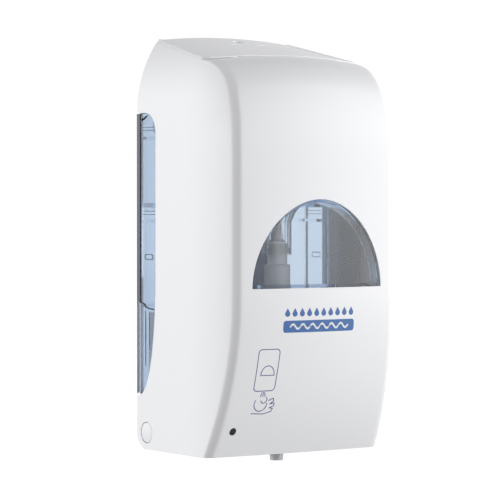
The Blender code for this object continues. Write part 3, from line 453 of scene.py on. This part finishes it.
# ---- front window ------------------------------------------------------------------------------------------
# A D-shaped pane of smoke-tinted clear ABS that follows the cover's front, with a short skirt all round by
# which it is glued into its opening. It is clear enough to show the pump and how much soap is left.
def tinted(name, colour, density, roughness=0.03, milk=0.0, surface=(1, 1, 1)):
    """Tinted plastic: darker the more of it is looked through. milk is how much of it is not clear."""
    made = bpy.data.materials.new(name)
    made.use_nodes = True
    tree = made.node_tree
    shader = tree.nodes["Principled BSDF"]
    shader.inputs["Transmission Weight"].default_value = 1.0 - milk
    shader.inputs["IOR"].default_value = 1.45
    shader.inputs["Base Color"].default_value = (*surface, 1)
    where = tree.nodes.new("ShaderNodeTexCoord")
    flow = tree.nodes.new("ShaderNodeTexNoise")
    flow.inputs["Scale"].default_value = 22.0
    tree.links.new(where.outputs["Object"], flow.inputs["Vector"])
    gloss = tree.nodes.new("ShaderNodeMapRange")
    gloss.inputs["To Min"].default_value = roughness * 0.6
    gloss.inputs["To Max"].default_value = roughness * 1.5
    tree.links.new(flow.outputs["Fac"], gloss.inputs["Value"])
    tree.links.new(gloss.outputs["Result"], shader.inputs["Roughness"])
    stain = tree.nodes.new("ShaderNodeVolumeAbsorption")
    stain.inputs["Color"].default_value = (*colour, 1)
    stain.inputs["Density"].default_value = density
    tree.links.new(stain.outputs["Volume"], tree.nodes["Material Output"].inputs["Volume"])
    return made


def settle(piece, finish, body, slot, *stands_for, smooth=30):
    """Gives a finished piece its material and its body, and hides the CAD nodes that it stands for. slot is
    not used.
    """
    pick(piece)
    bpy.ops.object.shade_smooth_by_angle(angle=math.radians(smooth))
    piece.data.materials.clear()
    piece.data.materials.append(finish)
    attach(piece, body)
    if stands_for:
        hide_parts(*stands_for)


FIT = 0.3  # gap all round in its opening
SKIRT = 1.8  # wall
window = prism("front_window", window_outline(FIT), "Y", -112, -92)
carve(window, casing("window_face", FIT, 8, SKIN, False), operation="INTERSECT")
hollow = prism("window_hollow", window_outline(FIT + SKIRT), "Y", -112, -85)
carve(hollow, casing("window_back", FIT + SKIRT, 8, SKIN, False), operation="INTERSECT")
carve(window, hollow)
settle(window, tinted("window_tint", (0.12, 0.36, 0.60), 100), "cover", "window_tint", "window")

# ---- indicator ---------------------------------------------------------------------------------------------
# A black lens flush with the cover's front, low on its left, and behind it the board's lamp, which shines
# through it in use. The lens is a push fit in its hole.
lens = prism("indicator_lens", ring((LAMP_X, LAMP_Z), 2.0, 48), "Y", -88, -72)
carve(lens, casing("lens_face", 0.12, 8, SKIN, False), operation="INTERSECT")
black_lens = plastic("black_lens", (0.004, 0.004, 0.005), 0.35)
settle(lens, black_lens, "cover", "black_lens", "status_lens")


def finish_nodes(finish, *names):
    """A CAD node whose shape is right keeps it and takes a finish."""
    for name in names:
        nodes[name].data.materials.clear()
        nodes[name].data.materials.append(finish)


silicone = plastic("frosted_silicone", (0.86, 0.87, 0.88), 0.42, bump=0.01)
silicone.node_tree.nodes["Principled BSDF"].inputs["Transmission Weight"].default_value = 0.35
finish_nodes(silicone, "status_led", "neck_seal")


# ---- hinge pins --------------------------------------------------------------------------------------------
# Two white pins, turned and pushed in from the outside through the cover's lower rear corners into the back
# body's ears. Their round heads lie flush with the cover, and the cover swings forwards on them.
def lathe(name, rings, centre, axis="Z", count=96, hollow=False):
    """A turned piece: a circle drawn out ring by ring. A ring is a radius and a place along the axis."""
    bpy.ops.object.select_all(action="DESELECT")
    radius, along = rings[0]
    fill = "NOTHING" if hollow else "NGON"
    bpy.ops.mesh.primitive_circle_add(vertices=count, radius=radius, fill_type=fill, location=(0, 0, along))
    made = bpy.context.object
    made.name = name
    bpy.ops.object.transform_apply(location=True)
    bpy.ops.object.mode_set(mode="EDIT")
    bpy.ops.mesh.select_all(action="SELECT")
    for next_radius, next_along in rings[1:] + (rings[:1] if hollow else []):
        if hollow:
            bpy.ops.mesh.extrude_edges_move()
        else:
            bpy.ops.mesh.extrude_region_move()
        size = next_radius / radius
        bpy.ops.transform.resize(value=(size, size, 1), center_override=(0, 0, along))
        bpy.ops.transform.translate(value=(0, 0, next_along - along))
        radius, along = next_radius, next_along
    bpy.ops.mesh.select_all(action="SELECT")
    bpy.ops.mesh.remove_doubles(threshold=0.0005)
    bpy.ops.mesh.normals_make_consistent(inside=False)
    bpy.ops.object.mode_set(mode="OBJECT")
    turn = {"X": Matrix.Rotation(math.pi / 2, 4, "Y"), "Y": Matrix.Rotation(-math.pi / 2, 4, "X"),
            "Z": Matrix.Identity(4)}[axis]
    made.data.transform(Matrix.Translation(Vector(centre)) @ turn)
    made.data.transform(Matrix.Translation((0, 0, UNDERSIDE)) @ Matrix.Scale(MM, 4))
    return made


for side, word in ((-1, "left"), (1, "right")):
    rings = [(3.9, 56.2), (3.9, 62.4), (6.2, 62.4), (6.2, 64.6), (6.05, 64.85), (5.8, 64.95)]
    pin = lathe(f"hinge_pin_{word}", [(r, side * along) for r, along in rings], (0, PIVOT_Y, PIVOT_Z), "X")
    settle(pin, shell_white, "back", "white_abs", f"pivot_pin_{word}")

# ---- lock --------------------------------------------------------------------------------------------------
# A white barrel in the roof, turned a quarter with a flat key. Its steel cam then hooks behind a bent steel
# keeper on the back body.
rings = [(3.7, 238.3), (3.7, 240.4), (5.6, 240.4), (5.6, 243.0), (3.7, 243.0), (3.7, 250.9), (3.4, 251.2)]
barrel = lathe("lock_face", rings, (0, LOCK_Y, 0))
slot = [(-2.3, LOCK_Y - 0.6), (2.3, LOCK_Y - 0.6), (2.3, LOCK_Y + 0.6), (-2.3, LOCK_Y + 0.6)]
carve(barrel, prism("key_slot", slot, "Z", 247, 256))
white_pp = plastic("white_pp", (0.80, 0.81, 0.83), 0.38)
settle(barrel, white_pp, "lock", "white_pp", "lock_barrel")


def steel(name, colour, roughness, stretch):
    """Plated or drawn steel: fine streaks along one way, in shade and in gloss."""
    made = plastic(name, colour, roughness, 0.04, 700.0, 0.05)
    tree = made.node_tree
    tree.nodes["Principled BSDF"].inputs["Metallic"].default_value = 1.0
    where = next(n for n in tree.nodes if n.type == "TEX_COORD")
    grain = tree.nodes.new("ShaderNodeMapping")
    grain.inputs["Scale"].default_value = stretch
    tree.links.new(where.outputs["Object"], grain.inputs["Vector"])
    for noise in [n for n in tree.nodes if n.type == "TEX_NOISE"]:
        tree.links.new(grain.outputs["Vector"], noise.inputs["Vector"])
    return made


bright_steel = steel("bright_steel", (0.62, 0.63, 0.65), 0.28, (1.0, 1.0, 6.0))
finish_nodes(bright_steel, "lock_cam", "latch_keeper")

# ---- printed marks -----------------------------------------------------------------------------------------
# One-colour pad prints on the cover's lower front: a row of blue drops over a blue pill with a white wave,
# and a small line drawing of a hand held under a dispenser. Each is a film of ink that follows the curve.
def ink(name, colour):
    return plastic(name, colour, 0.42, 0.05, 1500.0, 0.03)


FILM = 0.02  # thickness of the ink


def print_on(name, shapes, lift, finish):
    """Flat shapes of (x, z) points, pressed on to the cover's front and given the ink's thickness."""
    in_front = -120
    shape = bmesh.new()
    for outline in shapes:
        shape.faces.new([shape.verts.new((x, in_front, z)) for x, z in outline])
    made = as_object(name, shape)
    applied(made, "SHRINKWRAP", target=cover, wrap_method="PROJECT", use_project_y=True,
            use_project_z=False, use_positive_direction=True, use_negative_direction=False, offset=0)
    made.data.transform(Matrix.Translation((0, -lift * MM, 0)))
    applied(made, "SOLIDIFY", thickness=FILM * MM, offset=0)
    settle(made, finish, "cover", "white_abs", smooth=60)


STRETCH = 1.2  # a longer stretch of a line would cut through the curve it lies on


def strip(points, width, closed=False):
    """A drawn line as a row of four-sided shapes, each a stretch of it."""
    corners = points + points[:1] if closed else points
    ends = corners[:1]
    for (ax, az), (bx, bz) in zip(corners, corners[1:]):
        count = math.ceil(math.hypot(bx - ax, bz - az) / STRETCH)
        ends += [(ax + (bx - ax) * i / count, az + (bz - az) * i / count) for i in range(1, count + 1)]
    shapes = []
    for (ax, az), (bx, bz) in zip(ends, ends[1:]):
        length = math.hypot(bx - ax, bz - az)
        across = (-(bz - az) / length * width / 2, (bx - ax) / length * width / 2)
        ahead = ((bx - ax) / length * width / 2, (bz - az) / length * width / 2)
        shapes.append([(ax - across[0] - ahead[0], az - across[1] - ahead[1]),
                       (bx - across[0] + ahead[0], bz - across[1] + ahead[1]),
                       (bx + across[0] + ahead[0], bz + across[1] + ahead[1]),
                       (ax + across[0] - ahead[0], az + across[1] - ahead[1])])
    return shapes


def drop(x, z, tall):
    """A drop's outline: most of a circle, drawn up to a point."""
    radius = tall * 0.34
    round_end = ring((x, z + radius), radius, 21, math.radians(155), math.radians(230))
    return round_end + [(x, z + tall)]


PILL_FOOT, PILL_TOP, PILL_HALF, PILL_CORNER = 74.6, 81.8, 26.0, 1.8
pill = rounded((-PILL_HALF, PILL_FOOT), (PILL_HALF, PILL_TOP), PILL_CORNER, 7)
columns = sorted({round(x, 4) for x, _ in pill} | {float(x) for x in range(-24, 25, 2)})


def pill_edge(x):
    """How far the pill's rounded corners cut into its height at x."""
    into = max(abs(x) - (PILL_HALF - PILL_CORNER), 0.0)
    return PILL_CORNER - math.sqrt(max(PILL_CORNER**2 - into**2, 0.0))


blocks = []
for left, right in zip(columns, columns[1:]):
    a, b = pill_edge(left), pill_edge(right)
    for low, high in ((0, 0.2), (0.2, 0.4), (0.4, 0.6), (0.6, 0.8), (0.8, 1)):
        tall_left, tall_right = PILL_TOP - PILL_FOOT - 2 * a, PILL_TOP - PILL_FOOT - 2 * b
        blocks.append([(left, PILL_FOOT + a + tall_left * low), (right, PILL_FOOT + b + tall_right * low),
                       (right, PILL_FOOT + b + tall_right * high), (left, PILL_FOOT + a + tall_left * high)])
blue_ink = ink("blue_ink", (0.032, 0.13, 0.38))
print_on("print_pill", blocks, 0.03, blue_ink)
WAVE_END, WAVE_STEP, WAVE_RISE, HALF_WAVE = 84, 0.25, 1.3, 3.5
pill_middle = (PILL_FOOT + PILL_TOP) / 2
swell = [(step * WAVE_STEP, pill_middle + WAVE_RISE * math.sin(step * WAVE_STEP * math.pi / HALF_WAVE))
         for step in range(-WAVE_END, WAVE_END + 1)]
print_on("print_wave", strip(swell, 1.15), 0.07, ink("white_ink", (0.85, 0.87, 0.9)))
DROP_PITCH = 5.2
drops = [drop((index - 4.5) * DROP_PITCH, 84.1, DROP_PITCH) for index in range(10)]
print_on("print_drops", drops, 0.03, blue_ink)

NAVY_LINE = 0.5
DRAWN_WIDE, DRAWN_TALL, DRAWN_LEAN = 14.4, 25.0, 0.03
drawing_x, drawing_foot = -34.8, 40.0
case_line = rounded((drawing_x - DRAWN_WIDE / 2, drawing_foot),
                    (drawing_x + DRAWN_WIDE / 2, drawing_foot + DRAWN_TALL), 2.2, 6)
case_line = [(x + (z - drawing_foot) * DRAWN_LEAN, z) for x, z in case_line]
sill = drawing_foot + 9.4
window_line = ring((drawing_x + 0.9, sill), 4.6, 17, 0, math.pi)
window_line = [(x, sill + (z - sill) * 1.25) for x, z in window_line]
lines = strip(case_line, NAVY_LINE, True) + strip(window_line, NAVY_LINE, True)
for aside in (-1.6, 0.0, 1.6):
    spray = [(drawing_x + aside * 0.6, drawing_foot - 0.9), (drawing_x + aside, drawing_foot - 3.4)]
    lines += strip(spray, NAVY_LINE)
hand_foot = drawing_foot - 14.1
palm = ring((drawing_x - 0.6, hand_foot + 6.2), 4.4, 19, math.radians(150), math.radians(215))
fingers = [(4.6, 8.2), (7.6, 9.5), (8.3, 7.9), (6.0, 6.0), (8.8, 6.6), (9.0, 4.8), (6.2, 3.6), (8.4, 3.2),
           (7.6, 1.4), (2.6, 0.0), (-5.8, 0.5)]
fingers = [(drawing_x + across, hand_foot + up) for across, up in fingers]
thumb = ring((drawing_x + 1.2, hand_foot + 8.8), 2.1, 11, math.radians(200), math.radians(200))
lines += strip(palm, NAVY_LINE) + strip(fingers, NAVY_LINE) + strip(thumb, NAVY_LINE)
print_on("print_drawing", lines, 0.03, ink("navy_ink", (0.05, 0.07, 0.24)))

# ---- back body ---------------------------------------------------------------------------------------------
# The smoke-tinted tray that is screwed to the wall: a flat plate with side walls, ribs and hinge ears. Its
# flanks fill the cover's side cut-outs, where the plate's edge looks navy because it is seen lengthways. A
# thicker boss of darker smoke stands behind the pump, and its dark tint is painted shade. A dark sheet inside
# each of the cover's flanks is painted shade of their shadowed inner walls.
smoke = tinted("smoke_blue", (0.12, 0.36, 0.60), 46, milk=0.1, surface=(0.74, 0.83, 0.93))
body = bpy.data.objects.new("back_tray", nodes["back_body"].data.copy())
bpy.context.scene.collection.objects.link(body)
pick(body)
bpy.ops.mesh.customdata_custom_splitnormals_clear()
bpy.ops.object.mode_set(mode="EDIT")
bpy.ops.mesh.select_all(action="SELECT")
bpy.ops.mesh.remove_doubles(threshold=0.000001)
bpy.ops.mesh.tris_convert_to_quads()
bpy.ops.object.mode_set(mode="OBJECT")
PLATE_FRONT, JOIN = -3.5, 0.02  # the plate is parted from the walls by a hair
plate = body.copy()
plate.data = body.data.copy()
plate.name = "back_plate"
bpy.context.scene.collection.objects.link(plate)
whole = [(-70, -10), (70, -10), (70, 260), (-70, 260)]
carve(body, prism("plate_space", whole, "Y", PLATE_FRONT, 1))
carve(plate, prism("plate_part", whole, "Y", PLATE_FRONT + JOIN, 1), operation="INTERSECT")
PANEL_GAP, PANEL_INSIDE, PANEL_OUTSIDE = 0.5, 61.9, 64.3
swept_edge = [point for point in side_opening(PANEL_GAP) if point[0] < PLATE_FRONT - 0.1]
panel = [(PLATE_FRONT, 33.2)] + swept_edge + [(PLATE_FRONT, OPENING_TOP - PANEL_GAP)]
for side in (-1, 1):
    near, far = sorted((side * PANEL_INSIDE, side * PANEL_OUTSIDE))
    carve(body, prism("flank_panel", panel, "X", near, far), operation="UNION")
settle(body, smoke, "back", "smoke_blue", "back_body")
settle(plate, smoke, "back", "smoke_blue")
# Dark smoke for painted shade: the boss behind the pump and the sheets inside the cover's flanks stand in for
# shade seen through the window.
painted_shade_smoke = tinted("painted_shade_smoke", (0.10, 0.25, 0.45), 300, milk=0.3, surface=(0.13, 0.20, 0.33))
boss = prism("painted_shade_plate", rounded((-30, 92), (27, 149), 4, 6), "Y", -9, PLATE_FRONT - 0.1)
settle(boss, painted_shade_smoke, "back", "smoke_blue")

EDGE_FOOT, EDGE_FRONT, EDGE_REAR = 90.0, -3.7, -0.1
EDGE_TOP = OPENING_TOP - PANEL_GAP
RIB_PAIRS = 198.0, 196.2, 146.6, 144.6
SLOT_HEIGHT, SLOT_END = 118.5, 1.5
plate_edge = [(EDGE_REAR, EDGE_FOOT + 2), (EDGE_FRONT, EDGE_FOOT)]
plate_edge += [(EDGE_FRONT, EDGE_TOP), (EDGE_REAR, EDGE_TOP)]
navy_edge = plastic("navy_edge", (0.028, 0.045, 0.085), 0.22, bump=0.01)
rib_tint = plastic("rib_tint", (0.13, 0.19, 0.28), 0.25, bump=0.01)
lines = []
for height in RIB_PAIRS:
    lines += strip([(EDGE_FRONT, height), (-20.6, height)], 0.42)
lines += strip([(-4.5, 202.2), (-8.5, 203.6), (-11.5, 205.0)], 1.1)
slot_line = ring((-10.4, SLOT_HEIGHT), SLOT_END, 9, math.pi / 2, -math.pi)
slot_line += ring((-16.4, SLOT_HEIGHT), SLOT_END, 9, -math.pi / 2, -math.pi)
lines += strip(slot_line, 0.5, True)
step_line = [(-0.6, 93.2), (-1.6, 91.4), (-4.5, 90.4), (-8.0, 89.6)]
step_line += [(-10.0, 87.6), (-13.5, 86.8), (-19.5, 86.4)]
lines += strip(step_line, 0.8)
for depth, top, foot, width in ((-1.6, 90, 45, 0.5), (-9.6, 85, 52, 0.7), (-14.0, 85, 62, 0.45)):
    lines += strip([(depth, top), (depth, foot)], width)
for side, word in ((-1, "left"), (1, "right")):
    # Painted shade: a dark tinted sheet inside each of the cover's flanks stands in for the shadow on its
    # inner wall.
    near, far = sorted((side * 57.2, side * 59.2))
    shade_sheet_outline = [(-35, 91), (-64, 91), (-64, 148), (-52, 148), (-35, 166)]
    shade_sheet = prism(f"painted_shade_side_{word}", shade_sheet_outline, "X", near, far)
    settle(shade_sheet, painted_shade_smoke, "back", "smoke_blue")
    near, far = sorted((side * 62.5, side * 64.8))
    settle(prism(f"plate_edge_{word}", plate_edge, "X", near, far), navy_edge, "back", "smoke_blue")
    shape = bmesh.new()
    for outline in lines:
        face = shape.faces.new([shape.verts.new((side * 64.25, y, z)) for y, z in outline])
        grown = bmesh.ops.extrude_face_region(shape, geom=[face])["geom"]
        out = [v for v in grown if isinstance(v, bmesh.types.BMVert)]
        bmesh.ops.translate(shape, vec=(side * 0.2, 0, 0), verts=out)
    settle(as_object(f"flank_ribs_{word}", shape), rib_tint, "back", "smoke_blue")

# ---- tank --------------------------------------------------------------------------------------------------
# A clear blow-moulded tank above the shelf, with a bayonet cap over its filler and a neck that plugs on to
# the pump's spike through a silicone ring.
finish_nodes(tinted("clear_tank", (0.6, 0.72, 0.85), 30, 0.06), "tank")
finish_nodes(white_pp, "tank_cap")

# ---- pump --------------------------------------------------------------------------------------------------
# A spring-return piston pump in natural polypropylene: barrel, inlet valve and spike in one column, clamped
# to the shelf. The piston's soft tip hangs through the casing's underside.
natural_pp = plastic("natural_pp", (0.88, 0.89, 0.92), 0.4)
natural_pp.node_tree.nodes["Principled BSDF"].inputs["Transmission Weight"].default_value = 0.12
pump_axis = (0, -58.0, 0)
rings = [(6.3, 46), (8, 46), (8, 89.4), (13, 89.4), (13, 91.6), (8, 91.6), (8, 113.4), (7.4, 114),
         (2.2, 114), (2.2, 111), (6.3, 111)]
cylinder = lathe("pump_cylinder", rings, pump_axis, hollow=True)
settle(cylinder, natural_pp, "back", "white_pp", "pump_barrel")
rings = [(2.2, 114.4), (6.2, 114.4), (6.2, 126.4), (5.7, 127), (1.6, 127), (1.6, 124.5), (4.2, 124.5),
         (4.2, 117.6), (2.2, 116.2)]
valve = lathe("inlet_valve", rings, pump_axis, hollow=True)
settle(valve, natural_pp, "back", "white_pp", "valve_housing")
rings = [(1.6, -6.2), (3.6, -6.2), (4.1, -5.6), (4.1, 8.6), (3.2, 8.6), (3.2, -3.8), (1.6, -4.6)]
tip = lathe("outlet_tip", rings, pump_axis, hollow=True)
settle(tip, silicone, "piston", "frosted_silicone", "nozzle_tip")
finish_nodes(natural_pp, "inlet_spike", "pump_piston")
grey_abs = plastic("grey_abs", (0.46, 0.49, 0.54), 0.42, 0.03, 1200.0, 0.06)
finish_nodes(grey_abs, "pump_clamp")
finish_nodes(bright_steel, "inlet_ball", "pump_spring")

# ---- drive -------------------------------------------------------------------------------------------------
# A small DC motor, two stages of acetal gears and a rack on the fork that lifts the piston, in a grey case
# closed by a lid with three steel screws.
acetal = plastic("acetal", (0.80, 0.77, 0.66), 0.36, 0.02, 600.0, 0.02)
finish_nodes(acetal, "pump_yoke", "output_gear", "compound_gear", "motor_pinion")
finish_nodes(bright_steel, "output_axle", "compound_axle")
finish_nodes(bright_steel, "gearbox_screw_1", "gearbox_screw_2", "gearbox_screw_3")
finish_nodes(steel("motor_can", (0.55, 0.56, 0.58), 0.35, (1.0, 8.0, 1.0)), "motor")
finish_nodes(grey_abs, "gearbox_case", "gearbox_cover")

# ---- chassis -----------------------------------------------------------------------------------------------
# Moulded grey tray that carries the pump, the drive and the batteries, held to the back body by four screws.
finish_nodes(grey_abs, "chassis")
finish_nodes(bright_steel, "chassis_screw_1", "chassis_screw_2", "chassis_screw_3", "chassis_screw_4")

# ---- batteries ---------------------------------------------------------------------------------------------
# Four AA cells in a grey case with a sliding door, and nickel-plated contacts. Two insulated leads run from
# the case to the control board. A cell is a steel can in a printed sleeve, which leaves both ends bare.
CELL_FOOT, CELL_TOP = 0.027, 0.077  # metres above the underside
sleeve = plastic("cell_sleeve", (0.09, 0.13, 0.24), 0.3)
tree = sleeve.node_tree
where = next(n for n in tree.nodes if n.type == "TEX_COORD")
place_on = tree.nodes.new("ShaderNodeSeparateXYZ")
tree.links.new(where.outputs["Object"], place_on.inputs["Vector"])
bands = tree.nodes.new("ShaderNodeValToRGB")
bands.color_ramp.interpolation = "CONSTANT"
bands.color_ramp.elements[0].color = (0.55, 0.56, 0.58, 1)
bands.color_ramp.elements[1].position = 0.06
bands.color_ramp.elements[1].color = (0.07, 0.11, 0.22, 1)
for position, colour in ((0.70, (0.62, 0.42, 0.12, 1)), (0.95, (0.55, 0.56, 0.58, 1))):
    bands.color_ramp.elements.new(position).color = colour
reach = tree.nodes.new("ShaderNodeMapRange")
reach.inputs["From Min"].default_value = UNDERSIDE + CELL_FOOT
reach.inputs["From Max"].default_value = UNDERSIDE + CELL_TOP
tree.links.new(place_on.outputs["Z"], reach.inputs["Value"])
tree.links.new(reach.outputs["Result"], bands.inputs["Fac"])
tree.links.new(bands.outputs["Color"], tree.nodes["Principled BSDF"].inputs["Base Color"])
finish_nodes(sleeve, "battery_1", "battery_2", "battery_3", "battery_4")
finish_nodes(grey_abs, "battery_case", "battery_door")
finish_nodes(bright_steel, "contact_top_left", "contact_top_right")
finish_nodes(bright_steel, "contact_foot_left", "contact_foot_middle", "contact_foot_right")
finish_nodes(plastic("red_wire", (0.5, 0.03, 0.03), 0.4), "battery_lead_red")
finish_nodes(plastic("black_wire", (0.02, 0.02, 0.02), 0.4), "battery_lead_black")


# ---- electronics -------------------------------------------------------------------------------------------
# A control board with a slide switch, and a sensor board over the tray that closes the underside. Its dark
# lens passes the infrared beam that finds a hand.
def circuit_board():
    """Green solder mask over copper tracks, which show as paler lines in a brick pattern."""
    made = plastic("board_green", (0.02, 0.13, 0.06), 0.3)
    tree = made.node_tree
    where = next(n for n in tree.nodes if n.type == "TEX_COORD")
    tracks = tree.nodes.new("ShaderNodeTexBrick")
    tracks.inputs["Scale"].default_value = 130.0
    tracks.inputs["Mortar Size"].default_value = 0.035
    tracks.inputs["Color1"].default_value = (0.012, 0.10, 0.045, 1)
    tracks.inputs["Color2"].default_value = (0.018, 0.13, 0.055, 1)
    tracks.inputs["Mortar"].default_value = (0.05, 0.24, 0.10, 1)
    flat = tree.nodes.new("ShaderNodeMapping")
    flat.inputs["Rotation"].default_value = (math.pi / 2, 0, 0)
    tree.links.new(where.outputs["Object"], flat.inputs["Vector"])
    tree.links.new(flat.outputs["Vector"], tracks.inputs["Vector"])
    tree.links.new(tracks.outputs["Color"], tree.nodes["Principled BSDF"].inputs["Base Color"])
    return made


finish_nodes(circuit_board(), "control_board", "sensor_board")
finish_nodes(white_pp, "power_switch")
finish_nodes(grey_abs, "sensor_tray")
finish_nodes(black_lens, "sensor_lens", "ir_receiver")
finish_nodes(tinted("emitter_blue", (0.2, 0.35, 0.6), 300), "ir_emitter")
